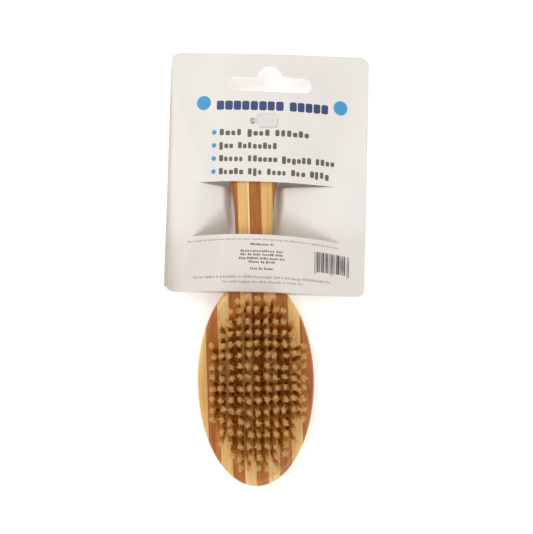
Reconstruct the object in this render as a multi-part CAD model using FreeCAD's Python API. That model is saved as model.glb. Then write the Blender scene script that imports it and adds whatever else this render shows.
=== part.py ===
"""Bamboo bristle brush on its woven hang card.

Lengths are millimetres. The brush lies on its flat back with the bristles up:
+Z leaves the face that carries the bristles, +Y runs from the head to the
handle's butt end, and +X is to the right as seen from above. The origin is
under the middle of the tufts, on the head's flat back.
"""
import FreeCAD, Part
import math
import os

from FreeCAD import Placement, Rotation, Vector

# Oval head and handle, seen from above
HEAD_HALF_WIDTH = 29.6
HEAD_HALF_LENGTH = 53.1
HEAD_CENTRE_Y = -1.0
SHOULDER_Y = 46.6
NECK_HALF_WIDTH = 9.4
GRIP_HALF_WIDTH = 13.7
GRIP_WIDEST_Y = 119.0
BUTT_Y = 141.5
# half widths of the handle between the neck and its widest place
HANDLE_SIDE = [(70.0, 9.4), (82.0, 9.7), (92.0, 10.6), (100.0, 12.2), (108.0, 13.3)]

# Thickness of the brush, seen from the side
FACE_Z = 14.0
HANDLE_TOP_Z = 12.2
HANDLE_BACK_Z = 1.3
BUTT_BACK_Z = 2.7
HEAD_ENDS_Y = 46.0
NECK_STARTS_Y = 64.0
FACE_RIM = 3.0
BACK_RIM = 2.6

# Laminated strips: light and dark bamboo in turn, a little askew to the axis
STRIP_COUNT = 10
STRIP_WIDTH = 5.96
FIRST_JOINT_X = -24.55
STRIP_SKEW = math.radians(0.97)
# the neck saws strip 8 in two, and strip 7 keeps the thin sliver up to here
SAWN_STRIP = 8
SLIVER_LOW_Y = 60.0
SLIVER_HIGH_Y = 85.0
SLIVER_SPARE = 3.0

# Bristle tufts, in straight rows and columns inside an oval
ROW_COUNT = 16
ROW_PITCH = 4.7
COLUMN_COUNT = 11
COLUMN_PITCH = 4.0
FIELD_HALF_WIDTH = 21.5
FIELD_HALF_LENGTH = 39.0
FIELD_SQUARENESS = 2.5
FIELD_X = -0.3
ROW_CURVE = 0.1
FAN_ALONG = 1.22
FAN_ACROSS = 1.13
TIP_SHIFT_X = 1.7
TIP_Z = 30.6
TUFT_R = 1.15
TUFT_TIP_R = 1.65
TUFT_TIP_CHAMFER = 0.4
HOLE_R = 1.2
HOLE_DEPTH = 7.5

# Flat wire anchor that each tuft is folded round
ANCHOR_LENGTH = 2.36
ANCHOR_THICK = 0.35
ANCHOR_HEIGHT = 1.5
ANCHOR_LIFT = 0.9
ANCHOR_GAP = 0.03
# the slot in a tuft runs this many gaps past each end of its anchor
ANCHOR_END_GAPS = 5

# Hang hole near the butt end
HANG_HOLE_Y = 131.3
HANG_HOLE_R = 2.5
HANG_HOLE_CHAMFER = 0.6

# Hang card: a sheet in its own frame, u across and v up, turned a little
CARD_WIDTH = 101.6
CARD_TOP_V = 62.4
CARD_BOTTOM_V = -60.3
CARD_THICK = 0.45
CARD_CORNER_R = 4.0
CARD_X = 7.2
CARD_Y = 104.2
CARD_TURN = -2.0
CARD_BEND_R = 6.0
# undersides of the card where it crosses the handle, and at its side margins
PANEL_Z = 13.15
STRAP_Z = 0.35
BAND_Z = 16.6
MARGIN_Z = 8.0
EDGE_Z = 7.0
MARGIN_U = 34.5
WEAVE_U = -7.0
PANEL_HALF = 14.0
STRAP_HALF = 15.5
BAND_HALF = 16.5

# Slits that the handle is woven through
SLIT_GAP = 0.7
UPPER_SLIT_V = -4.6
UPPER_SLIT_HALF = 35.5
LOWER_SLIT_V = -33.0
LOWER_SLIT_HALF = 38.8
LOWER_SLIT_RISE = 2.6

# Peg slot with its hump, at the card's top
PEG_SLOT_V = 45.9
PEG_SLOT_WIDTH = 42.7
PEG_SLOT_HEIGHT = 7.6
PEG_HUMP_R = 6.2
PEG_HUMP_TOP_V = 55.2

# Nylon tag fastener
TAG_HOLE_R = 1.5
FILAMENT_R = 0.28
TAG_BAR_R = 0.45
TAG_BAR_LENGTH = 9.0
TAG_BAR_DROP = 0.55
SNIP_Z = 12.62
SNIP_GAP = 0.1
FILAMENT_BEND_R = 1.0
PADDLE_LENGTH = 10.0
PADDLE_WIDTH = 6.0
PADDLE_THICK = 0.8
PADDLE_CORNER_R = 1.4
PADDLE_LIFT = 0.3
PADDLE_START_X = 2.4

REACH = 200.0  # longer than anything in the model
OVERCUT = 10.0  # how far cutting and bounding shapes run past what they cut


def point(x, y, z=0.0):
    return Vector(x, y, z)


def prism(edges, direction):
    """A closed outline pushed along a direction."""
    wire = Part.Wire(Part.__sortEdges__(edges))
    return Part.Face(wire).extrude(direction)


def smooth_edge(points, start_direction, end_direction):
    curve = Part.BSplineCurve()
    curve.interpolate(Points=points, InitialTangent=start_direction, FinalTangent=end_direction)
    return curve.toShape()


def upright_box(u_low, u_high, v_low, v_high):
    """A tall box that covers a rectangle seen from above."""
    return Part.makeBox(u_high - u_low, v_high - v_low, REACH, point(u_low, v_low, -REACH / 2))


def round_rectangle(width, height, radius, thickness):
    """A plate centred on the origin, with round upright corners."""
    plate = Part.makeBox(width, height, thickness, point(-width / 2, -height / 2))
    corners = [edge for edge in plate.Edges if abs(edge.tangentAt(edge.FirstParameter).z) > 0.9]
    return plate.makeFillet(radius, corners)


# ---------------------------------------------------------------- brush body


def shoulder_angle():
    """Where the head's oval meets the shoulder, as an angle from its long axis."""
    return math.acos((SHOULDER_Y - HEAD_CENTRE_Y) / HEAD_HALF_LENGTH)


def side_edges(side):
    """The edges of one side, from the head's shoulder to the grip. side is 1 or -1."""
    angle = shoulder_angle()
    shoulder_x = HEAD_HALF_WIDTH * math.sin(angle)
    normal = point(math.sin(angle) / HEAD_HALF_WIDTH, math.cos(angle) / HEAD_HALF_LENGTH)
    normal.normalize()
    radius = (shoulder_x - NECK_HALF_WIDTH) / (1 - normal.x)
    centre = point(shoulder_x, SHOULDER_Y) + normal * radius
    towards_middle = (point(-1, 0) - normal).normalize()
    places = [
        point(shoulder_x, SHOULDER_Y),
        centre + towards_middle * radius,
        centre - point(radius, 0),
    ]
    grip = [places[-1]] + [point(x, y) for y, x in HANDLE_SIDE]
    grip.append(point(GRIP_HALF_WIDTH, GRIP_WIDEST_Y))
    places = [point(side * p.x, p.y) for p in places]
    grip = [point(side * p.x, p.y) for p in grip]
    along = point(0, 1)
    return [Part.Arc(*places).toShape(), smooth_edge(grip, along, along)]


def outline_edges():
    angle = shoulder_angle()
    head = Part.Ellipse(
        point(0, HEAD_CENTRE_Y + HEAD_HALF_LENGTH),
        point(HEAD_HALF_WIDTH, HEAD_CENTRE_Y),
        point(0, HEAD_CENTRE_Y),
    )
    butt = Part.Ellipse(
        point(0, BUTT_Y), point(GRIP_HALF_WIDTH, GRIP_WIDEST_Y), point(0, GRIP_WIDEST_Y)
    )
    edges = [
        Part.ArcOfEllipse(head, angle, 2 * math.pi - angle).toShape(),
        Part.ArcOfEllipse(butt, -math.pi / 2, math.pi / 2).toShape(),
    ]
    return edges + side_edges(1) + side_edges(-1)


def thickness_edges():
    """The brush's side view, in the plane x = -REACH / 2."""
    x = -REACH / 2
    far_y = BUTT_Y + OVERCUT
    near_y = HEAD_CENTRE_Y - HEAD_HALF_LENGTH - OVERCUT
    along = point(0, 1)
    rise = (BUTT_BACK_Z - HANDLE_BACK_Z) / (far_y - NECK_STARTS_Y)
    head_back = [point(x, near_y, 0), point(x, HEAD_ENDS_Y, 0)]
    neck_back = point(x, NECK_STARTS_Y, HANDLE_BACK_Z)
    butt_back = point(x, far_y, BUTT_BACK_Z)
    butt_top = point(x, far_y, HANDLE_TOP_Z)
    neck_top = point(x, NECK_STARTS_Y, HANDLE_TOP_Z)
    head_top = [point(x, HEAD_ENDS_Y, FACE_Z), point(x, near_y, FACE_Z)]
    return [
        Part.makeLine(*head_back),
        smooth_edge([head_back[1], neck_back], along, point(0, 1, rise)),
        Part.makeLine(neck_back, butt_back),
        Part.makeLine(butt_back, butt_top),
        Part.makeLine(butt_top, neck_top),
        smooth_edge([neck_top, head_top[0]], -along, -along),
        Part.makeLine(*head_top),
        Part.makeLine(head_top[1], head_back[0]),
    ]


def is_wall(face):
    u_low, u_high, v_low, v_high = face.ParameterRange
    normal = face.normalAt((u_low + u_high) / 2, (v_low + v_high) / 2)
    return abs(normal.z) < 0.01


def rim_edges(body, top):
    """The edges between the upright side and the face, or the side and the back."""
    found = []
    for edge in body.Edges:
        walls = [is_wall(face) for face in body.ancestorsOfType(edge, Part.Face)]
        middle = edge.valueAt((edge.FirstParameter + edge.LastParameter) / 2)
        if walls.count(True) == 1 and (middle.z > FACE_Z / 2) == top:
            found.append(edge)
    return found


def brush_body():
    plan = prism(outline_edges(), point(0, 0, FACE_Z + OVERCUT))
    side = prism(thickness_edges(), point(REACH, 0))
    body = plan.common(side)
    body = body.makeFillet(FACE_RIM, rim_edges(body, True))
    body = body.makeFillet(BACK_RIM, rim_edges(body, False))
    return body.cut(hang_hole())


def hang_hole():
    hole = Part.makeCylinder(HANG_HOLE_R, 2 * FACE_Z, point(0, HANG_HOLE_Y, -FACE_Z / 2))
    wide = HANG_HOLE_R + HANG_HOLE_CHAMFER
    back_z = HANDLE_BACK_Z + (BUTT_BACK_Z - HANDLE_BACK_Z) * (HANG_HOLE_Y - NECK_STARTS_Y) / (
        BUTT_Y + OVERCUT - NECK_STARTS_Y
    )
    top_z = HANDLE_TOP_Z - HANG_HOLE_CHAMFER
    top = Part.makeCone(HANG_HOLE_R, wide, HANG_HOLE_CHAMFER, point(0, HANG_HOLE_Y, top_z))
    back = Part.makeCone(wide, HANG_HOLE_R, HANG_HOLE_CHAMFER, point(0, HANG_HOLE_Y, back_z))
    return hole.fuse([top, back])


def joint_x(index, y):
    """Where the glued joint after strip number index stands at y."""
    return FIRST_JOINT_X + (index - 1) * STRIP_WIDTH - y * math.tan(STRIP_SKEW)


def strip_slab(index):
    near, far = HEAD_CENTRE_Y - HEAD_HALF_LENGTH - OVERCUT, BUTT_Y + OVERCUT
    left = [joint_x(index - 1, y) if index > 1 else -REACH / 2 for y in (near, far)]
    right = [joint_x(index, y) if index < STRIP_COUNT else REACH / 2 for y in (near, far)]
    corners = [
        point(left[0], near, -1),
        point(right[0], near, -1),
        point(right[1], far, -1),
        point(left[1], far, -1),
    ]
    wire = Part.makePolygon(corners + corners[:1])
    slab = Part.Face(wire).extrude(point(0, 0, FACE_Z + 2))
    sliver = upright_box(0, REACH / 2, SLIVER_LOW_Y, SLIVER_HIGH_Y)
    if index == SAWN_STRIP:
        slab = slab.cut(sliver)
    if index == SAWN_STRIP - 1:
        slab = slab.fuse(sliver.cut(upright_box(0, joint_x(index, 0) - SLIVER_SPARE, near, far)))
    return slab


def bamboo_strips(holes):
    """Node name to solid for every strip, with the tuft holes drilled."""
    body = brush_body()
    strips = {}
    for index in range(1, STRIP_COUNT + 1):
        slab = strip_slab(index)
        wood = body.common(slab)
        near = [hole for hole in holes if hole.BoundBox.intersect(wood.BoundBox)]
        wood = wood.cut(near)
        shade = "light" if index % 2 else "dark"
        solids = sorted(wood.Solids, key=lambda solid: solid.CenterOfMass.y)
        ends = [""] if len(solids) == 1 else ["_head", "_handle"]
        for solid, end in zip(solids, ends):
            strips[f"bamboo_strip_{index:02d}_{shade}{end}"] = solid
    return strips


# --------------------------------------------------------------------- tufts


def tuft_places():
    """Rows of (root, tip) pairs, from the handle's end of the head to its far end."""
    rows = []
    for row in range(ROW_COUNT):
        y = ((ROW_COUNT - 1) / 2 - row) * ROW_PITCH
        places = []
        for column in range(COLUMN_COUNT):
            x = (column - (COLUMN_COUNT - 1) / 2) * COLUMN_PITCH
            across, along = abs(x) / FIELD_HALF_WIDTH, abs(y) / FIELD_HALF_LENGTH
            if across**FIELD_SQUARENESS + along**FIELD_SQUARENESS > 1:
                continue
            curved_y = y * (1 - ROW_CURVE * across**2)
            root = point(FIELD_X + x, curved_y, FACE_Z)
            tip_x = FIELD_X + TIP_SHIFT_X + x * FAN_ACROSS
            tip = point(tip_x, curved_y * FAN_ALONG, TIP_Z)
            places.append((root, tip))
        rows.append(places)
    return rows


def placed(shape, root, tip):
    """A shape made along +Z, stood at the root and turned towards the tip."""
    shape = shape.copy()
    shape.Placement = Placement(root, Rotation(point(0, 0, 1), tip - root))
    return shape


def tuft_hole(root, tip):
    hole = Part.makeCylinder(HOLE_R, HOLE_DEPTH + OVERCUT, point(0, 0, -HOLE_DEPTH))
    return placed(hole, root, tip)


def anchor_plate(spare=0.0):
    """One flat wire anchor, standing across the fold. spare widens it on every side."""
    low = ANCHOR_LIFT - HOLE_DEPTH
    length = ANCHOR_LENGTH + 2 * ANCHOR_END_GAPS * spare
    thick = ANCHOR_THICK + 2 * spare
    height = ANCHOR_HEIGHT + 2 * spare
    return Part.makeBox(length, thick, height, point(-length / 2, -thick / 2, low - spare))


def tuft(root, tip):
    """A bundle of bristles, folded round its anchor at the bottom of the hole."""
    length = (tip - root).Length
    profile = [
        point(0, 0, -HOLE_DEPTH),
        point(TUFT_R, 0, -HOLE_DEPTH),
        point(TUFT_R, 0, 0),
        point(TUFT_TIP_R, 0, length - TUFT_TIP_CHAMFER),
        point(TUFT_TIP_R - TUFT_TIP_CHAMFER, 0, length),
        point(0, 0, length),
    ]
    wire = Part.makePolygon(profile + profile[:1])
    bundle = Part.Face(wire).revolve(point(0, 0), point(0, 0, 1), 360)
    return placed(bundle.cut(anchor_plate(ANCHOR_GAP)), root, tip)


# ---------------------------------------------------------------------- card


def rounded_path(points, radii):
    """Straight runs joined by tangent arcs. radii holds one radius per inner point."""
    edges = []
    start = points[0]
    for before, corner, after, radius in zip(points, points[1:], points[2:], radii):
        back = (before - corner).normalize()
        ahead = (after - corner).normalize()
        half = back.getAngle(ahead) / 2
        reach = radius / math.tan(half)
        middle = (back + ahead).normalize() * (radius / math.sin(half) - radius)
        first, last = corner + back * reach, corner + ahead * reach
        edges.append(Part.makeLine(start, first))
        edges.append(Part.Arc(first, corner + middle, last).toShape())
        start = last
    edges.append(Part.makeLine(start, points[-1]))
    return edges


def card_zone(crossing_z, half, region):
    """The part of the card over one region, bent to cross the handle at one height."""
    half_width = CARD_WIDTH / 2 + 1
    outer = [(-half_width, EDGE_Z), (-MARGIN_U, MARGIN_Z)]
    inner = [(WEAVE_U - half, crossing_z), (WEAVE_U + half, crossing_z)]
    under = [point(u, 0, z) for u, z in outer + inner + [(-u, z) for u, z in reversed(outer)]]
    over = [p + point(0, 0, CARD_THICK) for p in under]
    under_radii, over_radii = [], []
    for before, corner, after in zip(under, under[1:], under[2:]):
        turns_up = (corner - before).cross(after - corner).y < 0
        under_radii.append(CARD_BEND_R + (CARD_THICK if turns_up else 0))
        over_radii.append(CARD_BEND_R + (0 if turns_up else CARD_THICK))
    edges = rounded_path(under, under_radii) + rounded_path(over, over_radii)
    edges += [Part.makeLine(under[0], over[0]), Part.makeLine(under[-1], over[-1])]
    sheet = prism(edges, point(0, REACH))
    sheet.translate(point(0, -REACH / 2))
    return sheet.common(region)


def arched_region(v_low, v_high, low_rise=0.0, high_rise=0.0):
    """An upright block between two lines across the card, which may arch between the slit's ends."""
    half_width = CARD_WIDTH / 2
    block = upright_box(-half_width, half_width, v_low, v_high)
    for v, rise, join in ((v_low, low_rise, False), (v_high, high_rise, True)):
        if rise:
            bump = arch_segment(v, rise)
            block = block.fuse(bump) if join else block.cut(bump)
    return block


def arch_segment(v, rise):
    """The upright segment between a chord as long as the lower slit and its arc."""
    ends = [point(-LOWER_SLIT_HALF, v, -REACH / 2), point(LOWER_SLIT_HALF, v, -REACH / 2)]
    arc = Part.Arc(ends[0], point(0, v + rise, -REACH / 2), ends[1]).toShape()
    return prism([arc, Part.makeLine(*ends)], point(0, 0, REACH))


def slit_tools():
    upper = upright_box(
        -UPPER_SLIT_HALF, UPPER_SLIT_HALF, UPPER_SLIT_V - SLIT_GAP / 2, UPPER_SLIT_V + SLIT_GAP / 2
    )
    low = arch_segment(LOWER_SLIT_V - SLIT_GAP / 2, LOWER_SLIT_RISE)
    high = arch_segment(LOWER_SLIT_V + SLIT_GAP / 2, LOWER_SLIT_RISE)
    base = upright_box(
        -LOWER_SLIT_HALF, LOWER_SLIT_HALF, LOWER_SLIT_V - SLIT_GAP / 2, LOWER_SLIT_V + SLIT_GAP / 2
    )
    return [upper, base.fuse(high).cut(low)]


def peg_slot_tool():
    slot = round_rectangle(PEG_SLOT_WIDTH, PEG_SLOT_HEIGHT, PEG_SLOT_HEIGHT / 2 - 0.01, REACH)
    slot.translate(point(0, PEG_SLOT_V, -REACH / 2))
    hump_v = PEG_HUMP_TOP_V - PEG_HUMP_R
    hump = Part.makeCylinder(PEG_HUMP_R, REACH, point(0, hump_v, -REACH / 2))
    neck = upright_box(-PEG_HUMP_R, PEG_HUMP_R, PEG_SLOT_V, hump_v)
    return slot.fuse([hump, neck])


def card_placement():
    return Placement(point(CARD_X, CARD_Y), Rotation(point(0, 0, 1), CARD_TURN))


def hang_card():
    panel = card_zone(PANEL_Z, PANEL_HALF, arched_region(UPPER_SLIT_V, CARD_TOP_V))
    strap_region = arched_region(LOWER_SLIT_V, UPPER_SLIT_V, low_rise=LOWER_SLIT_RISE)
    strap = card_zone(STRAP_Z, STRAP_HALF, strap_region)
    band_region = arched_region(CARD_BOTTOM_V, LOWER_SLIT_V, high_rise=LOWER_SLIT_RISE)
    band = card_zone(BAND_Z, BAND_HALF, band_region)
    card = panel.fuse([strap, band]).cut(slit_tools() + [peg_slot_tool()])
    blank = round_rectangle(CARD_WIDTH, CARD_TOP_V - CARD_BOTTOM_V, CARD_CORNER_R, REACH)
    blank.translate(point(0, (CARD_TOP_V + CARD_BOTTOM_V) / 2, -REACH / 2))
    card = card.common(blank).removeSplitter()
    card.Placement = card_placement()
    tag_hole = Part.makeCylinder(TAG_HOLE_R, REACH, point(0, HANG_HOLE_Y, -REACH / 2))
    return card.cut(tag_hole).Solids[0]


# ------------------------------------------------------------- tag fastener


def filament(edges):
    wire = Part.Wire(edges)
    start = edges[0].valueAt(edges[0].FirstParameter)
    direction = edges[0].tangentAt(edges[0].FirstParameter)
    circle = Part.Wire(Part.makeCircle(FILAMENT_R, start, direction))
    return wire.makePipeShell([circle], True, False)


def tag_bar():
    """The cross bar behind the handle and the filament up through the hang hole."""
    back_z = HANDLE_BACK_Z + TAG_BAR_DROP
    bar = Part.makeCylinder(
        TAG_BAR_R,
        TAG_BAR_LENGTH,
        point(-TAG_BAR_LENGTH / 2, HANG_HOLE_Y, back_z),
        point(1, 0),
    )
    stem_length = SNIP_Z - SNIP_GAP / 2 - back_z
    stem = Part.makeCylinder(FILAMENT_R, stem_length, point(0, HANG_HOLE_Y, back_z))
    return bar.fuse(stem).removeSplitter()


def tag_paddle():
    """The filament's upper end, bent over the card, and the flat paddle it ends in."""
    paddle_z = PANEL_Z + CARD_THICK + PADDLE_LIFT
    middle_z = paddle_z + PADDLE_THICK / 2
    low = point(0, HANG_HOLE_Y, SNIP_Z + SNIP_GAP / 2)
    bend_start = point(0, HANG_HOLE_Y, middle_z - FILAMENT_BEND_R)
    slant = FILAMENT_BEND_R * math.sqrt(0.5)
    bend_middle = point(
        FILAMENT_BEND_R - slant, HANG_HOLE_Y, middle_z - FILAMENT_BEND_R + slant
    )
    bend_end = point(FILAMENT_BEND_R, HANG_HOLE_Y, middle_z)
    end = point(PADDLE_START_X + 1, HANG_HOLE_Y, middle_z)
    stem = filament(
        [
            Part.makeLine(low, bend_start),
            Part.Arc(bend_start, bend_middle, bend_end).toShape(),
            Part.makeLine(bend_end, end),
        ]
    )
    paddle = round_rectangle(PADDLE_LENGTH, PADDLE_WIDTH, PADDLE_CORNER_R, PADDLE_THICK)
    paddle.translate(point(PADDLE_START_X + PADDLE_LENGTH / 2, HANG_HOLE_Y, paddle_z))
    return paddle.fuse(stem).removeSplitter()


# --------------------------------------------------------------------- write


def main():
    os.makedirs("parts", exist_ok=True)
    rows = tuft_places()
    flat = [pair for row in rows for pair in row]
    nodes = bamboo_strips([tuft_hole(*pair) for pair in flat])
    for number, row in enumerate(rows, 1):
        nodes[f"bristle_row_{number:02d}"] = Part.makeCompound([tuft(*pair) for pair in row])
    plate = anchor_plate()
    nodes["tuft_anchors"] = Part.makeCompound([placed(plate, *pair) for pair in flat])
    nodes["hang_card"] = hang_card()
    nodes["tag_bar"] = tag_bar()
    nodes["tag_paddle"] = tag_paddle()
    for name, shape in nodes.items():
        shape.exportStep(f"parts/{name}.step")
        print(name, len(shape.Solids), "solids", round(shape.Volume, 1), "mm3", shape.isValid())


main()
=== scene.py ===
"""Looks of the bamboo bristle brush, woven through its hang card.

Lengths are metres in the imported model's own frame: the brush lies on its flat back,
+Z leaves the face that carries the bristles, +Y runs towards the handle's butt end.
"""
import math

import bpy
import numpy as np
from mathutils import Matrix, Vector
from mathutils.geometry import delaunay_2d_cdt


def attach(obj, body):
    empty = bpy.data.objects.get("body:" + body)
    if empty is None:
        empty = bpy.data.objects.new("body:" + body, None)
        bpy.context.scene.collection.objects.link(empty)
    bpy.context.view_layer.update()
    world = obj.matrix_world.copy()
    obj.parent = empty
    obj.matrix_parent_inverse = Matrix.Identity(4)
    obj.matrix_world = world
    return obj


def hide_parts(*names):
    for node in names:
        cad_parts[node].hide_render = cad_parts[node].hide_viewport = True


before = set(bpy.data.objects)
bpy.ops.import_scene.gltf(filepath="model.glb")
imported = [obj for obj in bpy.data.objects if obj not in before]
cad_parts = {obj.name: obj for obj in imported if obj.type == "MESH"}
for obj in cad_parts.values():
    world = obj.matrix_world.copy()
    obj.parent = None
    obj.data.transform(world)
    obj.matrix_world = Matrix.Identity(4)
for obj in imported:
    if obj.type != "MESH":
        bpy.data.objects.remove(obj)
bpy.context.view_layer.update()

MM = 0.001

# The oval head's face and the laminated strips
FACE_Z = 14.0 * MM
STRIP_WIDTH = 5.96 * MM
FIRST_JOINT_X = -24.55 * MM
STRIP_SKEW = math.radians(0.97)

# Bristle tufts
ROW_COUNT = 16
ROW_PITCH = 4.7 * MM
COLUMN_COUNT = 11
COLUMN_PITCH = 4.0 * MM
FIELD_HALF_WIDTH = 21.5 * MM
FIELD_HALF_LENGTH = 39.0 * MM
FIELD_SQUARENESS = 2.5
FIELD_X = -0.3 * MM
ROW_CURVE = 0.1
FAN_ALONG = 1.22
FAN_ACROSS = 1.13
TIP_SHIFT_X = 1.7 * MM
TIP_Z = 30.6 * MM

# Hang card, in its own frame: u across, v up
CARD_HALF_WIDTH = 50.8 * MM
CARD_TOP_V = 62.4 * MM
CARD_BOTTOM_V = -60.3 * MM
CARD_THICK = 0.45 * MM
CARD_CORNER_R = 4.0 * MM
CARD_CENTRE = (7.2 * MM, 104.2 * MM)
CARD_TURN = math.radians(-2.0)
WEAVE_U = -7.0 * MM
UPPER_SLIT_V = -3.7 * MM
UPPER_SLIT_HALF = 35.5 * MM
UPPER_SLIT_GAP = 2.5 * MM
LOWER_SLIT_V = -30.4 * MM
LOWER_SLIT_HALF = 38.8 * MM
LOWER_SLIT_GAP = 0.15 * MM

# Undersides of the card: along its side margins, and where it crosses the handle
TOP_EDGE_Z = 3.5 * MM
UPPER_MARGIN_Z = 8.0 * MM
LOWER_MARGIN_Z = 8.6 * MM
BOTTOM_EDGE_Z = 6.0 * MM
PANEL_Z = 13.15 * MM
PANEL_TOP_Z = 9.6 * MM
BAND_Z = 16.6 * MM
BAND_BOTTOM_Z = 17.0 * MM
STRAP_SHELF_Z = 5.6 * MM
STRAP_CORNER_Z = 0.6 * MM
# the strap's wall beside the handle, as (distance from its axis, height)
STRAP_WALL = [
    (11.8 * MM, 0.35 * MM),
    (13.7 * MM, 3.0 * MM),
    (15.2 * MM, 5.6 * MM),
    (16.2 * MM, 9.0 * MM),
]
GRIP_HALF_WIDTH = 13.7 * MM
CREASE_V = -14.0 * MM


# ------------------------------------------------------------------ shader maths


class Flow:
    """One number or colour that a shader node gives. Python's operators add Math nodes."""

    def __init__(self, finish, socket):
        self.finish = finish
        self.socket = socket

    def maths(self, operation, *values):
        sockets = dict(enumerate(values))
        return self.finish.node("ShaderNodeMath", {"operation": operation}, sockets)

    def __add__(self, other):
        return self.maths("ADD", self, other)

    def __sub__(self, other):
        return self.maths("SUBTRACT", self, other)

    def __mul__(self, other):
        return self.maths("MULTIPLY", self, other)

    def __truediv__(self, other):
        return self.maths("DIVIDE", self, other)

    def __pow__(self, other):
        return self.maths("POWER", self, other)

    def __radd__(self, other):
        return self.maths("ADD", other, self)

    def __rsub__(self, other):
        return self.maths("SUBTRACT", other, self)

    def __rmul__(self, other):
        return self.maths("MULTIPLY", other, self)

    def __rtruediv__(self, other):
        return self.maths("DIVIDE", other, self)

    def size(self):
        return self.maths("ABSOLUTE", self)

    def fade(self, start, end):
        """0 at start, 1 at end, smooth between."""
        sockets = {"Value": self, "From Min": start, "From Max": end}
        settings = {"interpolation_type": "SMOOTHSTEP"}
        return self.finish.node("ShaderNodeMapRange", settings, sockets)


class Finish:
    """A material being made, with one Principled shader at its end."""

    def __init__(self, name, **uniform):
        self.material = bpy.data.materials.new(name)
        self.material.use_nodes = True
        self.tree = self.material.node_tree
        self.shader = self.tree.nodes["Principled BSDF"]
        self.set(self.shader, uniform)

    def set(self, node, sockets):
        for key, value in sockets.items():
            if isinstance(key, str):
                key = key.replace("_", " ")
            socket = node.inputs[key]
            if isinstance(value, Flow):
                self.tree.links.new(value.socket, socket)
            else:
                socket.default_value = value

    def node(self, kind, settings=None, sockets=None, output=0):
        made = self.tree.nodes.new(kind)
        for key, value in (settings or {}).items():
            if key == "stops":
                self.ramp(made.color_ramp, value)
            else:
                setattr(made, key, value)
        self.set(made, sockets or {})
        return Flow(self, made.outputs[output])

    def ramp(self, ramp, stops):
        while len(ramp.elements) < len(stops):
            ramp.elements.new(1.0)
        for element, (place, colour) in zip(ramp.elements, stops):
            element.position = place
            element.color = colour

    def place(self):
        return self.node("ShaderNodeTexCoord", output="Object")

    def axis(self, place, index):
        return self.node("ShaderNodeSeparateXYZ", sockets={0: place}, output=index)

    def stretch(self, place, scale, shift=(0, 0, 0), turn=(0, 0, 0)):
        sockets = {"Vector": place, "Location": shift, "Rotation": turn, "Scale": scale}
        return self.node("ShaderNodeMapping", {"vector_type": "POINT"}, sockets)

    def noise(self, place, scale, detail=2.0, rough=0.5, distortion=0.0):
        sockets = {
            "Vector": place,
            "Scale": scale,
            "Detail": detail,
            "Roughness": rough,
            "Distortion": distortion,
        }
        return self.node("ShaderNodeTexNoise", sockets=sockets)

    def blend(self, factor, first, second, how="MIX"):
        settings = {"data_type": "RGBA", "blend_type": how, "clamp_factor": True}
        return self.node("ShaderNodeMix", settings, {0: factor, 6: first, 7: second}, output=2)

    def bump(self, height, distance, strength=1.0):
        sockets = {"Height": height, "Distance": distance, "Strength": strength}
        return self.node("ShaderNodeBump", sockets=sockets)

    def done(self, **links):
        self.set(self.shader, links)
        return self.material


def rgb(red, green, blue):
    """A colour given as screen values from 0 to 255, as the linear values that shaders take."""
    def linear(value):
        value /= 255
        return value / 12.92 if value <= 0.04045 else ((value + 0.055) / 1.055) ** 2.4

    return (linear(red), linear(green), linear(blue), 1.0)


# --------------------------------------------------------------------- finishes

LIGHT_BAMBOO = {
    "pale": rgb(250, 212, 142),
    "main": rgb(232, 182, 104),
    "deep": rgb(208, 150, 76),
    "vessel": rgb(150, 92, 40),
    "mottle": 0.2,
}
DARK_BAMBOO = {
    "pale": rgb(204, 128, 44),
    "main": rgb(174, 98, 24),
    "deep": rgb(148, 74, 14),
    "vessel": rgb(92, 42, 12),
    "mottle": 0.6,
}
# offsets between one strip's noise and the next one's
SEED_STEP = (0.37, 0.71, 0.13)
GRAIN_STEP = 0.21
# the grain wanders sideways within this width, and its pattern is drawn out along the strip
GRAIN_WAVER = 1.6 * MM
GRAIN_STRETCH = 0.02
# one knuckle crosses each strip: the middle of where it may be, and how far either way
KNUCKLE_Y, KNUCKLE_SPREAD = 20 * MM, 110 * MM
# the knuckle's half width, and how unevenly it crosses
KNUCKLE_HALF = 2.2 * MM
KNUCKLE_WAVER = 4 * MM
# glue lines between strips: half width of the line, and where it has faded out
GLUE_HALF, GLUE_FADED = 0.04 * MM, 0.16 * MM
# a joint with a pale seam beside it, on the handle only
SEAM_JOINT = 4
SEAM_WIDTH = 0.85 * MM
SEAM_PALE = rgb(255, 232, 176)
HANDLE_STARTS_Y = 60 * MM
# painted shade: how much darker the handle's colour is made than the head's
HANDLE_PAINTED_SHADE = 0.32
# painted shade: the bare wood between the tufts is darkened to a warm brown, for the shade among
# the tufts
WARM_PAINTED_SHADE = (1.0, 0.84, 0.45, 1.0)
VARNISH = 0.55
GRAIN_DEPTH = 0.05 * MM


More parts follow.
